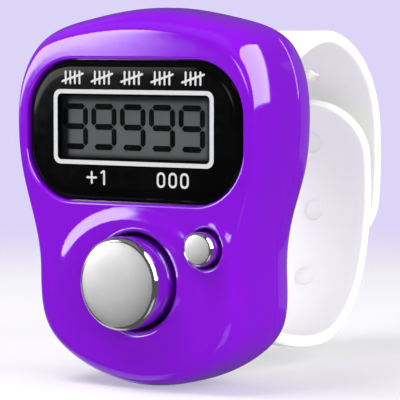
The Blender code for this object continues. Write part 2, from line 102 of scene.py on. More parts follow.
LOWER_LINE = [(9.4, 5.4), (11.6, 5.4), (15, 4.9), (20, 3.6), (25.5, 2.9), (29.8, 3.4), (33.5, 5.7),
              (36.2, 9.4), (37.5, 13.6), (38.15, 17.5), (38.1, 21.5), (37.45, 25.5), (36.2, 29.5)]
FIRST_STUD, STUD_PITCH = 5.0, 8.25
FIRST_HOLE, HOLE_PITCH = 5.05, 8.7
HOLE_RADIUS = 0.9


def place(points):
    """Case-frame millimetres to row-frame metres."""
    return (np.asarray(points, float) + ORIGIN) * MM


# ---------------------------------------------------------------- outlines

def smooth_outline(half, steps=8):
    """Points along the periodic cubic spline through the mirrored right half of an outline."""
    knots = np.array(list(half) + [(-x, z) for x, z in reversed(half[1:-1])], float)
    count = len(knots)
    after = np.roll(knots, -1, 0)
    spans = np.linalg.norm(after - knots, axis=1)
    slopes = (after - knots) / spans[:, None]
    system = np.zeros((count, count))
    for i in range(count):
        system[i, i - 1] = spans[i - 1]
        system[i, i] = 2 * (spans[i - 1] + spans[i])
        system[i, (i + 1) % count] = spans[i]
    bend = np.linalg.solve(system, 6 * (slopes - np.roll(slopes, 1, 0)))
    points = []
    for i in range(count):
        j = (i + 1) % count
        for b in np.arange(steps) / steps:
            a = 1 - b
            curve = (a**3 - a) * bend[i] + (b**3 - b) * bend[j]
            points.append(a * knots[i] + b * knots[j] + spans[i] ** 2 / 6 * curve)
    return np.array(points)


def inset(outline, amount):
    """A clockwise outline moved inward along its own normals."""
    along = np.roll(outline, -1, 0) - np.roll(outline, 1, 0)
    normal = np.stack([along[:, 1], -along[:, 0]], 1)
    normal /= np.linalg.norm(normal, axis=1)[:, None]
    return outline + normal * amount


def rounded_rectangle(centre, half_x, half_z, corner, steps=10, straight=0):
    """A clockwise rectangle with round corners, with extra points along its straight sides."""
    points = []
    for k, (sx, sz) in enumerate([(1, 1), (1, -1), (-1, -1), (-1, 1)]):
        arc = []
        for step in range(steps + 1):
            turn = (1 - k) * pi / 2 - step / steps * pi / 2
            arc.append((centre[0] + sx * (half_x - corner) + corner * cos(turn),
                        centre[1] + sz * (half_z - corner) + corner * sin(turn)))
        if points:
            points.extend(between(points[-1], arc[0], straight))
        points.extend(arc)
    points.extend(between(points[-1], points[0], straight))
    return np.array(points)


def between(a, b, count):
    """Evenly spaced points between two, without them."""
    return [tuple(np.array(a) + (np.array(b) - np.array(a)) * k / (count + 1)) for k in range(1, count + 1)]


def circle(centre, radius, sides=64):
    """A clockwise circle."""
    turns = -np.arange(sides) * 2 * pi / sides
    return np.stack([centre[0] + radius * np.cos(turns), centre[1] + radius * np.sin(turns)], 1)


def inside(points, outline):
    """Which points lie within a closed outline."""
    x, z = points[:, :1], points[:, 1:]
    ax, az = outline[:, 0], outline[:, 1]
    bx, bz = np.roll(ax, -1), np.roll(az, -1)
    crossing = (az > z) != (bz > z)
    step = np.where(bz == az, 1e-9, bz - az)
    return (crossing & (x < (bx - ax) * (z - az) / step + ax)).sum(1) % 2 == 1


def soft(t):
    """0 to 1 with no kink at either end."""
    t = np.clip(t, 0, 1)
    return t**3 * (t * (6 * t - 15) + 10)


# ---------------------------------------------------------------- skins

class Skin:
    """Points and faces of one piece, in the case frame in millimetres."""

    def __init__(self):
        self.points, self.faces, self.marks = [], [], []

    def ring(self, points):
        first = len(self.points)
        self.points.extend(tuple(p) for p in points)
        return np.arange(first, len(self.points))

    def bridge(self, near, far, mark=0):
        for i in range(len(near)):
            j = (i + 1) % len(near)
            self.faces.append((near[i], near[j], far[j], far[i]))
            self.marks.append(mark)

    def sweep(self, rings, mark=0):
        """Rings joined one to the next; returns the first and the last."""
        loops = [self.ring(r) for r in rings]
        for near, far in zip(loops[:-1], loops[1:]):
            self.bridge(near, far, mark)
        return loops[0], loops[-1]

    def lid(self, loop, mark=0):
        self.faces.append(tuple(loop))
        self.marks.append(mark)

    def fill(self, loops, plans, spacing, lift, mark=0):
        """Fine triangles inside the first loop and outside the others; lift() places plan points."""
        edge = np.concatenate(plans)
        low, high = plans[0].min(0), plans[0].max(0)
        rows = np.arange(low[1], high[1], spacing * 0.866)
        grid = [(x + (k % 2) * spacing / 2, z) for k, z in enumerate(rows)
                for x in np.arange(low[0], high[0] + spacing, spacing)]
        grid = np.array(grid)
        keep = inside(grid, plans[0])
        for hole in plans[1:]:
            keep &= ~inside(grid, hole)
        grid = grid[keep]
        gap = np.array([np.hypot(*(edge - p).T).min() for p in grid]) if len(grid) else np.zeros(0)
        grid = grid[gap > spacing * 0.6]
        new = self.ring(lift(grid)) if len(grid) else np.zeros(0, int)
        names = np.concatenate([np.concatenate(loops), new]).astype(int)
        flat = np.concatenate([edge, grid]) if len(grid) else edge
        rims, start = [], 0
        for plan in plans:
            rims += [(start + i, start + (i + 1) % len(plan)) for i in range(len(plan))]
            start += len(plan)
        made, _, triangles, origin, _, _ = delaunay_2d_cdt([Vector(p) for p in flat], rims, [], 0, 1e-7)
        centres = np.array([[sum(made[i][a] for i in t) / 3 for a in (0, 1)] for t in triangles])
        good = inside(centres, plans[0])
        for hole in plans[1:]:
            good &= ~inside(centres, hole)
        for triangle, kept in zip(triangles, good):
            if kept:
                self.faces.append(tuple(names[origin[i][0]] for i in triangle))
                self.marks.append(mark)

    def make(self, name, materials, body=None, sharp=40):
        mesh = bpy.data.meshes.new(name)
        mesh.from_pydata([tuple(p) for p in place(self.points)], [], [tuple(map(int, f)) for f in self.faces])
        mesh.polygons.foreach_set("material_index", self.marks)
        for finish in materials:
            mesh.materials.append(finish)
        shape = bmesh.new()
        shape.from_mesh(mesh)
        bmesh.ops.recalc_face_normals(shape, faces=shape.faces)
        shape.to_mesh(mesh)
        shape.free()
        mesh.shade_smooth()
        mesh.set_sharp_from_angle(angle=radians(sharp))
        made = bpy.data.objects.new(name, mesh)
        bpy.context.scene.collection.objects.link(made)
        if body:
            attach(made, body)
        return made


def at(outline, depth):
    """An outline as a ring at one depth, or at one depth per point."""
    depths = np.broadcast_to(depth, len(outline))
    return np.stack([outline[:, 0], depths, outline[:, 1]], 1)


def quarter(radius, steps=6, support=0.06):
    """A quarter round from a face into a wall, as (distance from the wall, depth below the face)."""
    arc = [(radius * (1 - sin(t)), radius * (1 - cos(t))) for t in np.linspace(0, pi / 2, steps + 1)]
    return [(radius + support, 0)] + arc + [(0, radius + support)]


def turned(name, centre, profile, materials, body, sides=72, marks=None, sharp=50):
    """A body of revolution about Y; profile is (radius, depth) and starts and ends on the axis."""
    skin = Skin()
    loops = [skin.ring(at(circle(centre, radius, sides), depth)) for radius, depth in profile[1:-1]]
    marks = marks or [0] * (len(loops) + 1)
    for k, (near, far) in enumerate(zip(loops[:-1], loops[1:])):
        skin.bridge(near, far, marks[k + 1])
    for loop, (_, depth), mark in ((loops[0], profile[0], marks[0]), (loops[-1], profile[-1], marks[-1])):
        tip = skin.ring([(centre[0], depth, centre[1])])[0]
        for i in range(len(loop)):
            skin.faces.append((loop[i], loop[(i + 1) % len(loop)], tip))
            skin.marks.append(mark)
    return skin.make(name, materials, body, sharp)


# ---------------------------------------------------------------- materials

def material(name, colour, roughness, metallic=0.0, **sockets):
    """A Principled material; sockets are set on the shader by name, with _ for a space."""
    made = bpy.data.materials.new(name)
    made.use_nodes = True
    shader = made.node_tree.nodes["Principled BSDF"]
    shader.inputs["Base Color"].default_value = (*colour, 1)
    shader.inputs["Roughness"].default_value = roughness
    shader.inputs["Metallic"].default_value = metallic
    for key, value in sockets.items():
        shader.inputs[key.replace("_", " ")].default_value = value
    made.diffuse_color = (*colour, 1)
    return made


def math(tree, operation, *values):
    """One Math node; a value is a number or another node's output."""
    node = tree.nodes.new("ShaderNodeMath")
    node.operation = operation
    for socket, value in zip(node.inputs, values):
        if isinstance(value, (int, float)):
            socket.default_value = value
        else:
            tree.links.new(value, socket)
    return node.outputs[0]


def fade(tree, value, full, none):
    """1 where the value is at or before full, 0 at or past none, and smooth between them."""
    node = tree.nodes.new("ShaderNodeMapRange")
    node.interpolation_type = "SMOOTHERSTEP"
    node.inputs["From Min"].default_value = none
    node.inputs["From Max"].default_value = full
    tree.links.new(value, node.inputs["Value"])
    return node.outputs["Result"]


def noise(tree, scale, detail=3.0, stretch=(1, 1, 1)):
    """Noise in object space; scale is in features per metre."""
    coordinates = tree.nodes.new("ShaderNodeTexCoord")
    mapping = tree.nodes.new("ShaderNodeMapping")
    mapping.inputs["Scale"].default_value = stretch
    texture = tree.nodes.new("ShaderNodeTexNoise")
    texture.inputs["Scale"].default_value = scale
    texture.inputs["Detail"].default_value = detail
    tree.links.new(coordinates.outputs["Object"], mapping.inputs["Vector"])
    tree.links.new(mapping.outputs["Vector"], texture.inputs["Vector"])
    return texture.outputs["Fac"]


def vary(made, socket, scale, low, high, stretch=(1, 1, 1), detail=3.0):
    """Varies a number over the surface between low and high."""
    tree = made.node_tree
    ramp = tree.nodes.new("ShaderNodeMapRange")
    ramp.inputs["From Min"].default_value = 0.3
    ramp.inputs["From Max"].default_value = 0.7
    ramp.inputs["To Min"].default_value = low
    ramp.inputs["To Max"].default_value = high
    tree.links.new(noise(tree, scale, detail, stretch), ramp.inputs["Value"])
    tree.links.new(ramp.outputs["Result"], tree.nodes["Principled BSDF"].inputs[socket])
    return made


def tint(made, scale, first, second, stretch=(1, 1, 1)):
    """Varies the colour between two."""
    tree = made.node_tree
    ramp = tree.nodes.new("ShaderNodeValToRGB")
    ramp.color_ramp.elements[0].position = 0.3
    ramp.color_ramp.elements[1].position = 0.7
    ramp.color_ramp.elements[0].color = (*first, 1)
    ramp.color_ramp.elements[1].color = (*second, 1)
    tree.links.new(noise(tree, scale, 3.0, stretch), ramp.inputs["Fac"])
    tree.links.new(ramp.outputs["Color"], tree.nodes["Principled BSDF"].inputs["Base Color"])
    return made


def bump(made, scale, height, strength=0.3, stretch=(1, 1, 1), detail=2.0):
    """Fine relief of a height in millimetres."""
    tree = made.node_tree
    node = tree.nodes.new("ShaderNodeBump")
    node.inputs["Strength"].default_value = strength
    node.inputs["Distance"].default_value = height * MM
    tree.links.new(noise(tree, scale, detail, stretch), node.inputs["Height"])
    tree.links.new(node.outputs["Normal"], tree.nodes["Principled BSDF"].inputs["Normal"])
    return made


def purple_plastic():
    made = material("purple_plastic", (0.215, 0.001, 0.62), 0.06, Specular_IOR_Level=1.0)
    tint(made, 60, (0.205, 0.001, 0.60), (0.225, 0.002, 0.64))
    vary(made, "Roughness", 900, 0.05, 0.09)
    return bump(made, 700, 0.004, 0.12)


def lens_black():
    made = material("lens_black", (0.0012, 0.0013, 0.0014), 0.1, Specular_IOR_Level=0.12)
    tint(made, 150, (0.0008, 0.0009, 0.001), (0.002, 0.002, 0.0022))
    return vary(made, "Roughness", 1200, 0.08, 0.13)


def lens_clear():
    made = material("lens_clear", (0.01, 0.01, 0.01), 0.04, Alpha=0.06, Specular_IOR_Level=0.15)
    return vary(made, "Roughness", 1200, 0.03, 0.06)


def window_print():
    made = material("window_print", (0.60, 0.61, 0.59), 0.4, Specular_IOR_Level=0.3)
    tint(made, 5000, (0.57, 0.58, 0.56), (0.63, 0.64, 0.62))
    return vary(made, "Roughness", 4000, 0.35, 0.5)


def satin_metal():
    made = material("satin_metal", (0.70, 0.70, 0.70), 0.5, 1.0)
    tint(made, 500, (0.68, 0.68, 0.68), (0.72, 0.72, 0.715))
    vary(made, "Roughness", 2500, 0.47, 0.53)
    return bump(made, 16000, 0.0005, 0.1)


def polished_metal():
    made = material("polished_metal", (0.86, 0.86, 0.88), 0.05, 1.0)
    tint(made, 400, (0.84, 0.84, 0.86), (0.88, 0.88, 0.90))
    return vary(made, "Roughness", 1500, 0.03, 0.08)


def silicone():
    made = material("strap_silicone", (0.94, 0.955, 0.90), 0.38, Subsurface_Weight=0.35,
                    Subsurface_Radius=(1.0, 1.0, 1.05), Subsurface_Scale=0.0012, Specular_IOR_Level=0.3)
    tint(made, 220, (0.93, 0.945, 0.885), (0.955, 0.97, 0.91))
    vary(made, "Roughness", 1500, 0.34, 0.46)
    return bump(made, 3500, 0.006, 0.25)


def steel():
    made = material("nickel_steel", (0.60, 0.60, 0.61), 0.25, 1.0)
    tint(made, 900, (0.54, 0.54, 0.55), (0.66, 0.66, 0.66))
    vary(made, "Roughness", 2500, 0.2, 0.36)
    return bump(made, 6000, 0.003, 0.2)


def moulded(name, first, second, low, high, grain=4000, shine=0.5):
    """A moulded or filled material: two close colours, uneven gloss and a fine grain."""
    made = material(name, first, low, Specular_IOR_Level=shine)
    tint(made, grain / 8, first, second)
    vary(made, "Roughness", grain / 2, low, high)
    return bump(made, grain, 0.008, 0.3)


PURPLE = purple_plastic()
BLACK = lens_black()
CLEAR = lens_clear()
PRINT = window_print()
SATIN = satin_metal()
POLISHED = polished_metal()
SILICONE = silicone()
STEEL = steel()


# ---------------------------------------------------------------- case

def boss_height(x, z):
    """How far the buttons' surround stands out of the face.

    It is an ellipse round the large button and a disc round the small one, blended where they meet."""
    ellipse = (1 - np.hypot((x - BOSS_AT[0]) / BOSS_WIDE, (z - BOSS_AT[1]) / BOSS_TALL)) / BOSS_SLOPE
    disc = (BOSS_SMALL - np.hypot(x - SMALL_AT[0], z - SMALL_AT[1])) / SMALL_SLOPE
    return BOSS_RISE * soft(np.logaddexp(BOSS_BLEND * ellipse, BOSS_BLEND * disc) / BOSS_BLEND)


def lens_outline(grow, straight=14):
    """The lens's plan, grown by a distance."""
    half_x, half_z, corner = LENS_HALF_X + grow, LENS_HALF_Z + grow, LENS_CORNER + grow
    return rounded_rectangle(LENS_AT, half_x, half_z, corner, 14, straight)


def front_case():
    """The front shell's outside: a face with raised surrounds, holes and a rolled edge."""
    skin = Skin()
    face, full = smooth_outline(FACE) - FACE_SHIFT, smooth_outline(OUTLINE)
    rings = []
    for turn in np.linspace(0, pi / 2, 30):
        share = sin(turn) ** (2 / FACE_POWER)
        ring = face + (full - face) * share
        lift = boss_height(ring[:, 0], ring[:, 1]) * (1 - share**2)
        rings.append(at(ring, SEAM_DEPTH * (1 - cos(turn) ** (2 / FACE_POWER)) - lift))
    lip = SEAM_DEPTH + 0.18
    for back, amount in ((0.11, 0), (0.05, 0.015), (0.015, 0.05), (0, 0.11), (0, 0.25), (0, WALL)):
        rings.append(at(inset(full, amount), lip - back))
    rings.append(at(inset(full, WALL), 5.0))
    first, _ = skin.sweep(rings)

    loops, plans = [first], [face]
    count = [(COUNT_HOLE + d, y) for d, y in quarter(0.6)] + [(COUNT_HOLE, 1.3)]
    reset = [(RESET_HOLE + d, y) for d, y in quarter(0.35)] + [(RESET_HOLE, 1.3)]
    for centre, profile, sides in ((COUNT_AT, count, 110), (RESET_AT, reset, 60)):
        rings = []
        for radius, depth in profile:
            ring = circle(centre, radius, sides)
            rise = boss_height(*circle(centre, profile[0][0], sides).T)
            rings.append(at(ring, depth - rise * (depth < 1.3)))
        loops.append(skin.sweep(rings)[0])
        plans.append(circle(centre, profile[0][0], sides))
    rings = []
    for d, y in quarter(LENS_RIM) + [(0, 1.25), (-1.0, 1.25), (-1.0, 1.6)]:
        ring = lens_outline(0.12 + d)
        rings.append(at(ring, y - boss_height(*ring.T) * (y < 1)))
    loops.append(skin.sweep(rings)[0])
    plans.append(lens_outline(0.12 + quarter(LENS_RIM)[0][0]))
    skin.fill(loops, plans, 0.36, lambda p: at(p, -boss_height(p[:, 0], p[:, 1])))
    made = skin.make("front_shell", [PURPLE], "case", sharp=60)
    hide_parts("front_case")


def keyhole(grow):
    """The battery door's outline: a disc with a round tab for its screw, its inner corners rounded."""
    radius, half = DOOR_RADIUS + grow, TAB_HALF + grow
    joint = sqrt(radius**2 - half**2)
    start = np.arctan2(half, joint)
    points = [(DOOR_AT[0] + radius * sin(t), DOOR_AT[1] + radius * cos(t))
              for t in np.linspace(start, 2 * pi - start, 110)]
    top = DOOR_SCREW_AT[1]
    low, high = (points[-1], (DOOR_AT[0] - half, top)), ((DOOR_AT[0] + half, top), points[0])
    points += between(*low, 5)
    points += [(DOOR_AT[0] - half * cos(t), top + half * sin(t)) for t in np.linspace(0, pi, 24)]
    points += between(*high, 5)
    outline = np.array(points)
    for _ in range(10):
        outline = outline * 0.5 + (np.roll(outline, 1, 0) + np.roll(outline, -1, 0)) * 0.25
    return outline


def slot_outline(middle_z, grow):
    """One strap slot's plan, grown by a distance."""
    return rounded_rectangle((0, middle_z), 7.3 + grow, 1.0 + grow, 0.5 + grow, 6, 16)


def rear_case():
    """The rear shell's outside, with the door recess, battery well, screw recesses and strap slots."""
    skin = Skin()
    full = smooth_outline(OUTLINE)
    lip = SEAM_DEPTH + 0.22
    rings = [at(inset(full, WALL), 9.8), at(inset(full, WALL), lip)]
    for back, amount in ((0, 0.25), (0, 0.11), (0.015, 0.05), (0.05, 0.015), (0.11, 0)):
        rings.append(at(inset(full, amount), lip + back))
    for turn in np.linspace(radians(9), pi / 2, 22):
        depth = SEAM_DEPTH + (CASE_DEPTH - SEAM_DEPTH) * sin(turn)
        rings.append(at(inset(full, BACK_ROUNDING * (1 - cos(turn))), depth))
    _, last = skin.sweep(rings)
    edge = inset(full, BACK_ROUNDING)

    loops, plans = [last], [edge]
    for shape, radius, floor in [(keyhole, 0.15, DOOR_LEDGE)] + [
            (lambda g, m=m: slot_outline(m, g), 0.3, 9.6) for m in (UPPER_ROOT_Z, LOWER_ROOT_Z)]:
        start = 0.2 if shape is keyhole else 0
        rings = [at(shape(start + d), CASE_DEPTH - y) for d, y in quarter(radius)]
        rings.append(at(shape(start), floor))
        first, end = skin.sweep(rings)
        loops.append(first)
        plans.append(shape(start + quarter(radius)[0][0]))
        if shape is keyhole:
            ledge, ledge_plan = end, shape(start)
    for centre in SCREWS_AT:
        profile = [(RECESS_RADIUS + d, CASE_DEPTH - y) for d, y in quarter(0.15)]
        profile += [(RECESS_RADIUS, 10.35), (PILOT_RADIUS, 10.35), (PILOT_RADIUS, 9)]
        loops.append(skin.sweep([at(circle(centre, r, 40), y) for r, y in profile])[0])
        plans.append(circle(centre, profile[0][0], 40))
    skin.fill(loops, plans, 0.7, lambda p: at(p, CASE_DEPTH))

    well = [(WELL_RADIUS, DOOR_LEDGE), (6.15, 10.18), (6.1, 10.25), (6.1, 6.45), (7.9, 6.45)]
    well_loop = skin.sweep([at(circle(DOOR_AT, r, 90), y) for r, y in well])[0]
    pilot_plan = circle(DOOR_SCREW_AT, PILOT_RADIUS, 30)
    pilot = skin.sweep([at(pilot_plan, y) for y in (DOOR_LEDGE, 8)])[0]
    skin.fill([ledge, well_loop, pilot], [ledge_plan, circle(DOOR_AT, WELL_RADIUS, 90), pilot_plan],
              0.7, lambda p: at(p, DOOR_LEDGE))
    made = skin.make("rear_shell", [PURPLE], "case", sharp=50)
    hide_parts("rear_case")


def battery_door():
    """The door: a keyhole plate with a rounded edge, a screw recess and three raised grip bars."""
    skin = Skin()
    rings = [at(keyhole(-0.2), DOOR_BACK), at(keyhole(0), DOOR_BACK)]
    rings += [at(keyhole(-d), DOOR_FACE - y) for d, y in reversed(quarter(0.15))]
    first, last = skin.sweep(rings)
    bore = 0.75
    recess = [(RECESS_RADIUS + d, DOOR_FACE - y) for d, y in quarter(0.12)]
    recess += [(RECESS_RADIUS, 10.6), (bore, 10.6), (bore, DOOR_BACK)]
    recess_top, recess_end = skin.sweep([at(circle(DOOR_SCREW_AT, r, 40), y) for r, y in recess])
    loops = [last, recess_top]
    plans = [keyhole(-quarter(0.15)[0][0]), circle(DOOR_SCREW_AT, recess[0][0], 40)]
    for k in (-1, 0, 1):
        centre = (DOOR_AT[0], DOOR_AT[1] - 3.6 + 1.1 * k)

        def bar(grow):
            return rounded_rectangle(centre, 2.4 - abs(k) * 0.5 + grow, 0.26 + grow, 0.2 + grow, 5, 6)

        rings = [at(bar(d), DOOR_FACE - y) for d, y in quarter(0.1)] + [at(bar(0), 11.0)]
        top, floor = skin.sweep(rings)
        skin.fill([floor], [bar(0)], 0.4, lambda p: at(p, 11.0))
        loops.append(top)
        plans.append(bar(quarter(0.1)[0][0]))
    skin.fill(loops, plans, 0.6, lambda p: at(p, DOOR_FACE))
    ring = [(RING_OUTER, DOOR_BACK), (RING_OUTER, 9.7), (RING_INNER, 9.7), (RING_INNER, DOOR_BACK)]
    ring_out, ring_in = skin.sweep([at(circle(DOOR_AT, r, 72), y) for r, y in ring])
    plans = [keyhole(-0.2), circle(DOOR_AT, RING_OUTER, 72), circle(DOOR_SCREW_AT, bore, 40)]
    skin.fill([first, ring_out, recess_end], plans, 0.8, lambda p: at(p, DOOR_BACK))
    skin.fill([ring_in], [circle(DOOR_AT, RING_INNER, 72)], 0.8, lambda p: at(p, DOOR_BACK))
    made = skin.make("door_plate", [PURPLE], "battery_door", sharp=50)
    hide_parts("battery_door")


def screw(name, node, body, radius):
    """A pan-head screw with a cross recess in its head."""
    skin = Skin()
    low, high = (np.array(corner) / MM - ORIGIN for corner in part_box(node))
    centre, back, front = ((low + high) / 2)[[0, 2]], high[1], low[1]

    def cross(grow):
        arm, half = radius * 0.5 + grow, 0.15 + grow
        corners = [(half, arm), (half, half), (arm, half), (arm, -half), (half, -half), (half, -arm)]
        corners += [(-x, z) for x, z in reversed(corners)]
        return np.array(corners) + centre

    crown = [(radius, 0.42), (radius, 0.3), (radius - 0.08, 0.14), (radius - 0.24, 0.04), (radius - 0.4, 0)]
    length = back - front
    shank = [(0.02, length), (0.3, length), (0.58, length - 0.5), (0.58, 0.65), (radius, 0.65)]
    first, last = skin.sweep([at(circle(centre, r, 40), back - y) for r, y in shank + crown])
    skin.lid(first)
    top, floor = skin.sweep([at(cross(0.03), back), at(cross(0), back - 0.04), at(cross(-0.03), back - 0.35)])
    skin.fill([floor], [cross(-0.03)], 0.5, lambda p: at(p, back - 0.35))
    skin.fill([last, top], [circle(centre, radius - 0.4, 40), cross(0.03)], 0.35, lambda p: at(p, back))
    made = skin.make(name, [STEEL], body, sharp=35)
    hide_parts(node)


# ---------------------------------------------------------------- display

WINDOW_AT = (-0.25, 27.45)
TALLY_Z, HINT_Z = 32.65, 22.15


def lens():
    """The lens: black with a softly rounded edge, a printed line, and a clear window inside it."""
    skin = Skin()
    front, soft_edge = 0.12, 1.5
    rings = [at(lens_outline(-0.02), 0.9), at(lens_outline(0), 0.85)]
    for d in (0, 0.04, 0.1, 0.2, 0.35, 0.55, 0.8, 1.1, 1.35, 1.5):
        rings.append(at(lens_outline(-d), front + 0.45 * (1 - d / soft_edge) ** 3))
    first, last = skin.sweep(rings)

    def window(half_x, half_z, corner):
        return rounded_rectangle(WINDOW_AT, half_x, half_z, corner, 8, 14)

    outer_plan, inner_plan = window(10.1, 3.95, 0.85), window(9.6, 3.5, 0.5)
    outer, inner = skin.sweep([at(outer_plan, front), at(inner_plan, front)], 1)
    skin.fill([last, outer], [lens_outline(-soft_edge), outer_plan], 0.6, lambda p: at(p, front))
    skin.fill([inner], [inner_plan], 1.2, lambda p: at(p, front), 2)
    back = skin.ring(at(inner_plan, 0.9))
    skin.fill([first, back], [lens_outline(-0.02), inner_plan], 1.5, lambda p: at(p, 0.9))
    skin.fill([back], [inner_plan], 1.5, lambda p: at(p, 0.9), 2)
    made = skin.make("lens", [BLACK, PRINT, CLEAR], "case", sharp=50)
    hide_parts("display_lens")


def frame_plate(name, outer, inner, front, back, finish):
    """A flat frame between two outlines with the same number of points."""
    skin = Skin()
    loops = [skin.ring(at(o, y)) for o, y in ((outer, front), (outer, back), (inner, back), (inner, front))]
    for k in range(4):
        skin.bridge(loops[k], loops[(k + 1) % 4])
    return skin.make(name, [finish], "case", sharp=30)


def lcd_painted_shade():
    """The display's background: grey-green, with painted shade that darkens it towards the mask's edge."""
    made = material("lcd_painted_shade", (0.16, 0.175, 0.17), 0.35, Specular_IOR_Level=0.1)
    tree = made.node_tree
    coordinates = tree.nodes.new("ShaderNodeTexCoord")
    parts = tree.nodes.new("ShaderNodeSeparateXYZ")
    tree.links.new(coordinates.outputs["Object"], parts.inputs["Vector"])
    centre = place([(WINDOW_AT[0], 0, WINDOW_AT[1])])[0]

    def margin(axis, middle_at, half):
        """Painted shade: 0 at the mask's edge and 1 past the soft border inside it."""
        away = math(tree, "ABSOLUTE", math(tree, "SUBTRACT", parts.outputs[axis], float(middle_at)))
        return fade(tree, away, (half - 0.6) * MM, (half + 0.2) * MM)

    wide, tall = margin("X", centre[0] - 0.1 * MM, 8.95), margin("Z", centre[2] - 0.15 * MM, 3.1)
    light = math(tree, "MULTIPLY", wide, tall)
    grain = math(tree, "MULTIPLY_ADD", noise(tree, 900), 0.14, 0.93)
    light = math(tree, "MULTIPLY", light, grain)
    # The ramp's dark end is painted shade along the mask's edge; its light end is the display's own
    # grey-green.
    ramp = tree.nodes.new("ShaderNodeValToRGB")
    ramp.color_ramp.elements[0].color = (0.008, 0.012, 0.012, 1)
    ramp.color_ramp.elements[1].color = (0.115, 0.125, 0.12, 1)
    tree.links.new(light, ramp.inputs["Fac"])
    tree.links.new(ramp.outputs["Color"], tree.nodes["Principled BSDF"].inputs["Base Color"])
    return vary(made, "Roughness", 3000, 0.3, 0.42)


DIGIT_WIDE, DIGIT_TALL, DIGIT_PITCH, STROKE = 3.24, 4.87, 3.69, 0.62


def segment(skin, start, end, half, front, back):
    """One bar of a digit, pointed at both ends."""
    start, end = np.array(start, float), np.array(end, float)
    along = (end - start) / np.linalg.norm(end - start)
    side = np.array([along[1], -along[0]])
    tip = half * 0.85
    outline = [start, start + along * tip + side * half, end - along * tip + side * half,
               end, end - along * tip - side * half, start + along * tip - side * half]
    near, far = skin.sweep([at(np.array(outline), front), at(np.array(outline), back)])
    skin.lid(near)
    skin.lid(far)


def display():
    """The mask behind the lens, the display's background and five digits that read 9."""
    mask_black = moulded("mask_black", (0.001, 0.001, 0.001), (0.002, 0.002, 0.002), 0.5, 0.6, shine=0.05)
    hole = rounded_rectangle(WINDOW_AT, 9.75, 3.25, 0.15, 3)
    rim = rounded_rectangle(LENS_AT, 10.7, 5.1, 0.8, 3)
    mask = frame_plate("display_mask", rim, hole, 1.0, 1.08, mask_black)
    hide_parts("lcd_front_polarizer")

    skin = Skin()
    plate = rounded_rectangle(WINDOW_AT, 10.0, 3.4, 0.2, 3)
    near, far = skin.sweep([at(plate, 1.16), at(plate, 1.24)])
    skin.lid(near)
    skin.lid(far)
    skin.make("display_background", [lcd_painted_shade()], "case", sharp=30)

    ink = moulded("digit_ink", (0.0008, 0.001, 0.0008), (0.0015, 0.0015, 0.0015), 0.4, 0.5, shine=0.05)
    skin = Skin()
    h, half, gap = STROKE / 2, DIGIT_TALL / 2, 0.1
    for k in range(5):
        x0 = WINDOW_AT[0] - 0.6 + (k - 2) * DIGIT_PITCH
        left, right = x0 - DIGIT_WIDE / 2 + h, x0 + DIGIT_WIDE / 2 - h
        top, mid, low = WINDOW_AT[1] + half - h, WINDOW_AT[1], WINDOW_AT[1] - half + h
        bars = [((left + gap, z), (right - gap, z)) for z in (top, mid, low)]
        uprights = (left, top, mid), (right, top, mid), (right, mid, low)
        bars += [((x, a - gap), (x, b + gap)) for x, a, b in uprights]
        for a, b in bars:
            segment(skin, a, b, h, 1.12, 1.15)
    skin.make("display_digits", [ink], "case", sharp=30)


def marks_on_lens():
    """Printed marks with no words: tally strokes over the window, +1 and 000 over the buttons."""
    skin = Skin()
    front, back, stroke = 0.1, 0.125, 0.115
    for group in range(5):
        x0 = LENS_AT[0] + (group - 2) * 3.8
        for k in range(4):
            x = x0 + (k - 1.5) * 0.6
            segment(skin, (x, TALLY_Z - 0.75), (x, TALLY_Z + 0.75), stroke, front, back)
        segment(skin, (x0 - 1.45, TALLY_Z - 0.45), (x0 + 1.45, TALLY_Z + 0.45), stroke, front - 0.01, back)
    x0 = COUNT_AT[0] - 5.4
    for reach in ((0.7, 0), (0, 0.7)):
        start, end = (x0 - reach[0], HINT_Z - reach[1]), (x0 + reach[0], HINT_Z + reach[1])
        segment(skin, start, end, stroke, front - reach[0] * 0.01, back)
    segment(skin, (x0 + 1.6, HINT_Z - 0.8), (x0 + 1.6, HINT_Z + 0.8), stroke, front, back)
    segment(skin, (x0 + 1.15, HINT_Z + 0.45), (x0 + 1.6, HINT_Z + 0.78), stroke * 0.8, front - 0.01, back)
    for k in range(3):
        centre = (RESET_AT[0] - 5.4 + k * 1.45, HINT_Z)
        outer = rounded_rectangle(centre, 0.52, 0.8, 0.5, 8)
        inner = rounded_rectangle(centre, 0.29, 0.57, 0.28, 8)
        corners = (outer, front), (outer, back), (inner, back), (inner, front)
        loops = [skin.ring(at(outline, y)) for outline, y in corners]
        for side in range(4):
            skin.bridge(loops[side], loops[(side + 1) % 4])
    skin.make("lens_marks", [PRINT], "case", sharp=30)


# ---------------------------------------------------------------- buttons

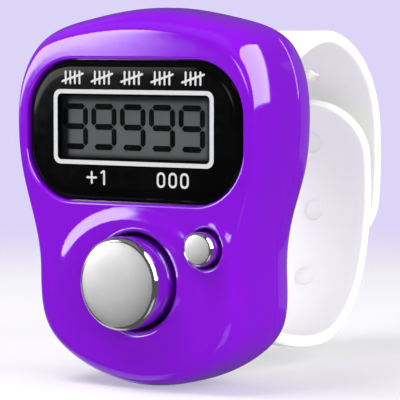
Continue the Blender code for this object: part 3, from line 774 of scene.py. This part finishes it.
def buttons():
    """Both caps: a satin domed face, a polished rolled edge and side, and a flange and a stem painted
    near-black as the shade behind the hole.
    """
    # Painted shade: the flange and stem are a near-black purple where they sit in shade behind the case's
    # hole.
    dark = moulded("flange_painted_shade", (0.012, 0.004, 0.022), (0.02, 0.006, 0.035), 0.5, 0.65, shine=0.1)
    count = [(0, -3.3), (1.0, -3.295), (2.0, -3.27), (3.0, -3.21), (3.7, -3.14), (4.3, -3.05), (4.4, -3.02),
             (4.45, -2.99), (4.52, -2.98), (4.65, -2.93), (4.78, -2.82), (4.87, -2.66), (4.9, -2.45),
             (4.9, -2.3), (4.9, 1.2), (4.9, 1.45), (5.9, 1.5), (5.9, 2.1), (2.0, 2.1), (2.0, 2.6), (0, 2.6)]
    marks = [0] * 6 + [1] * 8 + [2] * 6
    made = turned("count_cap", COUNT_AT, count, [SATIN, POLISHED, dark], "count_button", 120, marks, 70)
    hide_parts("count_button")
    reset = [(0, -1.5), (0.6, -1.49), (1.1, -1.46), (1.4, -1.43), (1.47, -1.41), (1.52, -1.4), (1.61, -1.35),
             (1.71, -1.26), (1.77, -1.14), (1.8, -0.95), (1.8, 1.2), (1.8, 1.45), (2.4, 1.5), (2.4, 2.1),
             (1.1, 2.1), (1.1, 2.6), (0, 2.6)]
    marks = [0] * 4 + [1] * 6 + [2] * 6
    made = turned("reset_cap", RESET_AT, reset, [SATIN, POLISHED, dark], "reset_button", 80, marks, 70)
    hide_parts("reset_button")


# ---------------------------------------------------------------- strap

class Line:
    """The centre line of a strap half, as a cubic spline through (y, z) knots."""

    def __init__(self, knots):
        knots = np.array(knots, float)
        count = len(knots)
        spans = np.linalg.norm(np.diff(knots, axis=0), axis=1)
        slopes = np.diff(knots, axis=0) / spans[:, None]
        system, side = np.eye(count), np.zeros((count, 2))
        for i in range(1, count - 1):
            system[i, i - 1:i + 2] = spans[i - 1], 2 * (spans[i - 1] + spans[i]), spans[i]
            side[i] = 6 * (slopes[i] - slopes[i - 1])
        bend = np.linalg.solve(system, side)
        fine = []
        for i in range(count - 1):
            for b in np.arange(40) / 40:
                a = 1 - b
                curve = (a**3 - a) * bend[i] + (b**3 - b) * bend[i + 1]
                fine.append(a * knots[i] + b * knots[i + 1] + spans[i] ** 2 / 6 * curve)
        self.points = np.array(fine + [knots[-1]])
        steps = np.linalg.norm(np.diff(self.points, axis=0), axis=1)
        self.run = np.concatenate([[0], np.cumsum(steps)])
        self.length = self.run[-1]
        tangents = np.gradient(self.points, self.run, axis=0)
        self.tangents = tangents / np.linalg.norm(tangents, axis=1)[:, None]

    def bend(self, plan, rise):
        """Plan points (across, along) laid on the line, lifted along its normal."""
        y, z, ty, tz = (np.interp(plan[:, 1], self.run, v)
                        for v in (*self.points.T, *self.tangents.T))
        return np.stack([plan[:, 0], y + tz * rise, z - ty * rise], 1)


def strap(name, node, knots, holes=()):
    """A strap half: a band with rounded edges, a round tip and clean holes."""
    line = Line(knots)
    half, straight = STRAP_HALF_WIDTH, line.length - STRAP_TIP

    def outline(shrink):
        side = np.linspace(shrink, straight, 90)
        left = [(-half + shrink, s) for s in side]
        turn = np.linspace(0, pi, 49)[1:-1]
        tip = [(-(half - shrink) * cos(t), straight + (STRAP_TIP - shrink) * sin(t)) for t in turn]
        right = [(half - shrink, s) for s in reversed(side)]
        root_end = between(right[-1], left[0], 12)
        return np.array(left + tip + right + root_end)

    thick, edge = STRAP_THICKNESS / 2, 0.28
    arc = quarter(edge, 5, 0.08)
    profile = [(d, thick - y) for d, y in arc] + [(d, -thick + y) for d, y in reversed(arc)]
    skin = Skin()
    rings = [line.bend(outline(d), t) for d, t in profile]
    top, bottom = skin.sweep(rings)
    tops, bottoms, plans = [top], [bottom], [outline(profile[0][0])]
    arc = quarter(0.14, 4, 0.05)
    hole_profile = [(d, thick - y) for d, y in arc] + [(d, -thick + y) for d, y in reversed(arc)]
    for along in holes:
        rings = [line.bend(circle((0, along), HOLE_RADIUS + d, 40), t) for d, t in hole_profile]
        near, far = skin.sweep(rings)
        tops.append(near)
        bottoms.append(far)
        plans.append(circle((0, along), HOLE_RADIUS + hole_profile[0][0], 40))
    skin.fill(tops, plans, 0.8, lambda p: line.bend(p, thick))
    skin.fill(bottoms, plans, 0.8, lambda p: line.bend(p, -thick))
    made = skin.make(name, [SILICONE], None, sharp=50)
    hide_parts(node)
    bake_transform(made)
    return line


def stud(name, line, along):
    """A stud through the lower half: a peg with a bulb, and the flat disc that shows inside."""
    profile = [(0, 2.72), (0.35, 2.7), (0.6, 2.58), (0.72, 2.35), (0.72, 2.15), (0.6, 1.95), (0.56, 1.6),
               (0.56, 0.78), (0.7, 0.7), (1.2, 0.6), (1.2, -0.72), (1.18, -0.755), (1.12, -0.77), (0, -0.77)]
    skin = Skin()
    point = line.bend(np.array([(0.0, along)]), 0)[0]
    normal = line.bend(np.array([(0.0, along)]), 1)[0] - point
    across = np.array([1.0, 0, 0])
    up = np.cross(normal, across)
    turns = np.arange(36) * 2 * pi / 36
    spokes = [across * cos(t) + up * sin(t) for t in turns]
    rings = [[point + normal * y + spoke * r for spoke in spokes] for r, y in profile[1:-1]]
    first, last = skin.sweep(rings)
    skin.lid(first)
    skin.lid(last)
    made = skin.make(name, [SILICONE], "lower_strap", sharp=50)


def straps():
    upper = Line(UPPER_LINE)
    holes = [upper.length - FIRST_HOLE - k * HOLE_PITCH for k in range(3)]
    strap("strap_upper", "upper_strap", UPPER_LINE, holes)
    lower = strap("strap_lower", "lower_strap", LOWER_LINE)
    for k in range(3):
        stud(f"strap_stud_{k + 1}", lower, lower.length - FIRST_STUD - k * STUD_PITCH)


# ---------------------------------------------------------------- inside

def inner_parts():
    """Materials for the CAD pieces that stay."""
    black = moulded("black_plastic", (0.012, 0.012, 0.013), (0.022, 0.022, 0.024), 0.4, 0.6)
    board = moulded("solder_mask", (0.008, 0.15, 0.05), (0.015, 0.21, 0.08), 0.25, 0.45, 2500)
    glass = material("display_glass", (0.78, 0.83, 0.80), 0.05, Alpha=0.45)
    vary(glass, "Roughness", 900, 0.03, 0.08)
    finishes = {
        black: ["lcd_frame", "smd_resistor"], board: ["circuit_board"],
        glass: ["lcd_front_glass", "lcd_rear_glass"],
        moulded("reflector", (0.42, 0.44, 0.40), (0.50, 0.52, 0.48), 0.3, 0.5): ["lcd_reflector"],
        moulded("zebra", (0.70, 0.32, 0.38), (0.85, 0.45, 0.50), 0.5, 0.7): ["zebra_connector"],
        moulded("adhesive", (0.60, 0.57, 0.47), (0.72, 0.69, 0.58), 0.7, 0.9): ["lens_adhesive"],
        moulded("epoxy", (0.005, 0.005, 0.005), (0.012, 0.012, 0.012), 0.15, 0.3): ["chip_blob"],
        moulded("ceramic", (0.45, 0.33, 0.20), (0.55, 0.42, 0.27), 0.4, 0.6): ["smd_capacitor"],
        moulded("carbon", (0.01, 0.01, 0.01), (0.02, 0.02, 0.02), 0.7, 0.9): [
            "count_contact_pill", "reset_contact_pill"],
        STEEL: ["button_cell", "battery_contact_positive", "battery_contact_negative",
                "pcb_screw_left", "pcb_screw_right"],
    }
    for finish, nodes in finishes.items():
        for node in nodes:
            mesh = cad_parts[node].data
            mesh.materials.clear()
            mesh.materials.append(finish)


def keypad():
    """The rubber keypad: a sheet on the board, and a dome under each button."""
    rubber = moulded("keypad_grey", (0.50, 0.51, 0.53), (0.60, 0.61, 0.63), 0.55, 0.75)
    front, back, big, small, bridge = 4.35, 4.8, 6.3, 2.45, 1.5
    turns = [np.arcsin((RESET_AT[1] + side * bridge - COUNT_AT[1]) / big) for side in (-1, 1)]
    small_turn = np.arcsin(bridge / small)
    outline = [(COUNT_AT[0] + big * cos(t), COUNT_AT[1] + big * sin(t))
               for t in np.linspace(turns[0], turns[1] - 2 * pi, 60)]
    outline += [(RESET_AT[0] + small * cos(t), RESET_AT[1] + small * sin(t))
                for t in np.linspace(pi - small_turn, small_turn - pi, 30)]
    outline = np.array(outline)
    skin = Skin()
    loops, plans = [skin.sweep([at(outline, front), at(outline, back)])], [outline]
    for centre, radius in ((COUNT_AT, 3.32), (RESET_AT, 1.92)):
        plans.append(circle(centre, radius, 48))
        loops.append(skin.sweep([at(plans[-1], front), at(plans[-1], back)]))
    skin.fill([near for near, _ in loops], plans, 1.0, lambda p: at(p, front))
    skin.fill([far for _, far in loops], plans, 1.0, lambda p: at(p, back))
    pieces = [skin.make("keypad_sheet", [rubber], "case", sharp=40)]
    for name, centre, radius, top, inner, joint, keep in (
            ("keypad_dome_count", COUNT_AT, 3.3, 2.2, 2.6, "count_press", 0.48),
            ("keypad_dome_reset", RESET_AT, 1.9, 1.2, 1.4, "reset_press", 0.58)):
        profile = [(0, 2.75), (top - 0.2, 2.75), (top - 0.05, 2.79), (top + 0.05, 2.92),
                   (radius - 0.1, 4.2), (radius, front), (radius, back), (inner, back),
                   (inner, front), (top - 0.4, 3.35), (0, 3.35)]
        dome = turned(name, centre, profile, [rubber], "case", 48)
        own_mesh(dome)
        pieces.append(dome)
    for piece in pieces:
        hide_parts("keypad_membrane")


# ---------------------------------------------------------------- stage

SKY = (0.723, 0.665, 0.930)
EVEN, EVEN_LEVEL = (0.98, 0.97, 1.0), 0.46
REFLECTED, REFLECTED_BASE = (1, 0.99, 1), 0.09
# Each panel: its span round the object, its span up, its soft edges, its level and which way it is turned.
PANELS = (((-61, -37), (-0.3, 21), (4.4, 0.2), 6.0),
          ((7.5, 66), (-45, 42), (1.5, 3), 5.0, False),
          ((-20.5, -14), (4, 10), (2, 1.5), 4.0),
          ((154, 188), (-9, 20), (1.5, 2), 0.15),
          ((-115, -75), (-25, 40), (15, 15), 0.12),
          ((-60, 0), (32, 75), (15, 8), 0.12),
          ((-135, -100), (-32, -10), (8, 6), 0.7),
          ((-110, -55), (-62, -38), (12, 10), 0.5),
          ((14, 60), (-56, -28), (4, 4), 0.5))
FLOOR_NEAR, FLOOR_GLOW, GLOW_LEVEL = (0.52, 0.515, 0.533), (1, 0.985, 1), 0.38
FLOOR_FADE_FROM, FLOOR_FADE_TO = 0.06, 0.22


def toward(azimuth, elevation):
    """The direction from the object to a point round it. Azimuth 0 is in front, 90 at its right."""
    a, e = radians(azimuth), radians(elevation)
    return Vector((sin(a) * cos(e), -cos(a) * cos(e), sin(e)))


def sun(name, azimuth, elevation, strength, spread):
    """A soft light from far away, kept out of reflections."""
    light = bpy.data.lights.new(name, "SUN")
    light.energy = strength
    light.angle = radians(spread)
    made = bpy.data.objects.new(name, light)
    bpy.context.scene.collection.objects.link(made)
    made.rotation_euler = toward(azimuth, elevation).to_track_quat("Z", "Y").to_euler()
    made.visible_glossy = False


def softbox(tree, around, up, soft_edge, level, upright=True):
    """A bright panel in the reflected surroundings, between two pairs of angles in degrees.

    Upright, they are azimuth and elevation; otherwise the turn about Y from +X and the tilt to +Y."""
    direction = tree.nodes.new("ShaderNodeTexCoord").outputs["Generated"]
    parts = tree.nodes.new("ShaderNodeSeparateXYZ")
    tree.links.new(direction, parts.inputs["Vector"])
    x, y, z = parts.outputs
    front = math(tree, "MULTIPLY", y, -1.0)
    turn = math(tree, "ARCTAN2", x, front) if upright else math(tree, "ARCTAN2", z, x)
    tilt = math(tree, "ARCSINE", z if upright else y)
    middle_turn, middle_tilt = radians(sum(around) / 2), radians(sum(up) / 2)
    away = math(tree, "ABSOLUTE", math(tree, "WRAP", math(tree, "SUBTRACT", turn, middle_turn), pi, -pi))
    rise = math(tree, "ABSOLUTE", math(tree, "SUBTRACT", tilt, middle_tilt))
    half_turn, half_tilt = radians(around[1] - around[0]) / 2, radians(up[1] - up[0]) / 2
    across = fade(tree, away, half_turn, half_turn + radians(soft_edge[0]))
    along = fade(tree, rise, half_tilt, half_tilt + radians(soft_edge[1]))
    return math(tree, "MULTIPLY", math(tree, "MULTIPLY", across, along), level)


def studio():
    """A pale sky for the camera, even light for matt surfaces, and softboxes for glossy ones."""
    world = bpy.data.worlds.new("studio")
    bpy.context.scene.world = world
    world.use_nodes = True
    tree = world.node_tree
    path = tree.nodes.new("ShaderNodeLightPath")
    panels = REFLECTED_BASE
    for panel in PANELS:
        panels = math(tree, "ADD", panels, softbox(tree, *panel))
    shades = []
    for colour, strength in ((EVEN, EVEN_LEVEL), (REFLECTED, 1.0), (SKY, 1.0)):
        shade = tree.nodes["Background"] if not shades else tree.nodes.new("ShaderNodeBackground")
        shade.inputs["Color"].default_value = (*colour, 1)
        shade.inputs["Strength"].default_value = strength
        shades.append(shade)
    even, glossy, seen = shades
    tree.links.new(panels, glossy.inputs["Strength"])
    result = even.outputs[0]
    for flag, shade in (("Is Glossy Ray", glossy), ("Is Camera Ray", seen)):
        mix = tree.nodes.new("ShaderNodeMixShader")
        tree.links.new(path.outputs[flag], mix.inputs[0])
        tree.links.new(result, mix.inputs[1])
        tree.links.new(shade.outputs[0], mix.inputs[2])
        result = mix.outputs[0]
    tree.links.new(result, tree.nodes["World Output"].inputs["Surface"])


def floor():
    """A matt floor to the horizon, nearly white round the object, that meets the sky with no edge."""
    reach = 4.0
    corners = [(-reach, -reach, 0), (reach, -reach, 0), (reach, reach, 0), (-reach, reach, 0)]
    mesh = bpy.data.meshes.new("floor")
    mesh.from_pydata(corners, [], [(0, 1, 2, 3)])
    made = bpy.data.objects.new("floor", mesh)
    bpy.context.scene.collection.objects.link(made)
    pale = material("floor_pale", FLOOR_NEAR, 0.9, Specular_IOR_Level=0.0,
                    Emission_Color=(*FLOOR_GLOW, 1), Emission_Strength=GLOW_LEVEL)
    tree = pale.node_tree
    distance = tree.nodes.new("ShaderNodeVectorMath")
    distance.operation = "LENGTH"
    coordinates = tree.nodes.new("ShaderNodeTexCoord")
    tree.links.new(coordinates.outputs["Object"], distance.inputs[0])
    far = tree.nodes.new("ShaderNodeEmission")
    far.inputs["Color"].default_value = (*SKY, 1)
    mix = tree.nodes.new("ShaderNodeMixShader")
    tree.links.new(fade(tree, distance.outputs["Value"], FLOOR_FADE_TO, FLOOR_FADE_FROM), mix.inputs[0])
    tree.links.new(tree.nodes["Principled BSDF"].outputs[0], mix.inputs[1])
    tree.links.new(far.outputs[0], mix.inputs[2])
    tree.links.new(mix.outputs[0], tree.nodes["Material Output"].inputs["Surface"])
    mesh.materials.append(pale)
    made.visible_glossy = False


def key(azimuth, elevation, distance, size, power):
    """A square soft light near the object, so that its lower end is a little darker."""
    light = bpy.data.lights.new("key", "AREA")
    light.size = size
    light.energy = power
    made = bpy.data.objects.new("key", light)
    bpy.context.scene.collection.objects.link(made)
    back = toward(azimuth, elevation)
    made.location = Vector((0, 0, 0.02)) + back * distance
    made.rotation_euler = back.to_track_quat("Z", "Y").to_euler()
    made.visible_glossy = False


def stage():
    """The floor, the surroundings and the soft lights."""
    floor()
    studio()
    key(-28, 60, 0.2, 0.12, 0.31)
    sun("fill_front", 50, 14, 1.0, 40)
    sun("fill_side", 85, 30, 1.15, 40)


def camera():
    """The photograph's viewing angle."""
    made = bpy.data.cameras.new("camera")
    made.lens, made.sensor_width = 203.2, 36
    made.clip_start, made.clip_end = 0.01, 20
    holder = bpy.data.objects.new("camera", made)
    bpy.context.scene.collection.objects.link(holder)
    azimuth, elevation, distance = radians(33), radians(4), 240
    back = np.array([sin(azimuth) * cos(elevation), -cos(azimuth) * cos(elevation), sin(elevation)])
    target = np.array([3.09, 7.98, 19.62])
    holder.location = place([target + back * distance])[0]
    holder.rotation_euler = Vector(back).to_track_quat("Z", "Y").to_euler()
    bpy.context.scene.camera = holder


bpy.context.scene.view_settings.view_transform = "Standard"
camera()
stage()
front_case()
rear_case()
battery_door()
lens()
display()
marks_on_lens()
buttons()
straps()
for number in (1, 2, 3, 4):
    screw(f"case_screw_{number}_head", f"case_screw_{number}", "case", 1.1)
screw("door_screw_head", "battery_door_screw", "battery_door", 1.2)
keypad()
inner_parts()
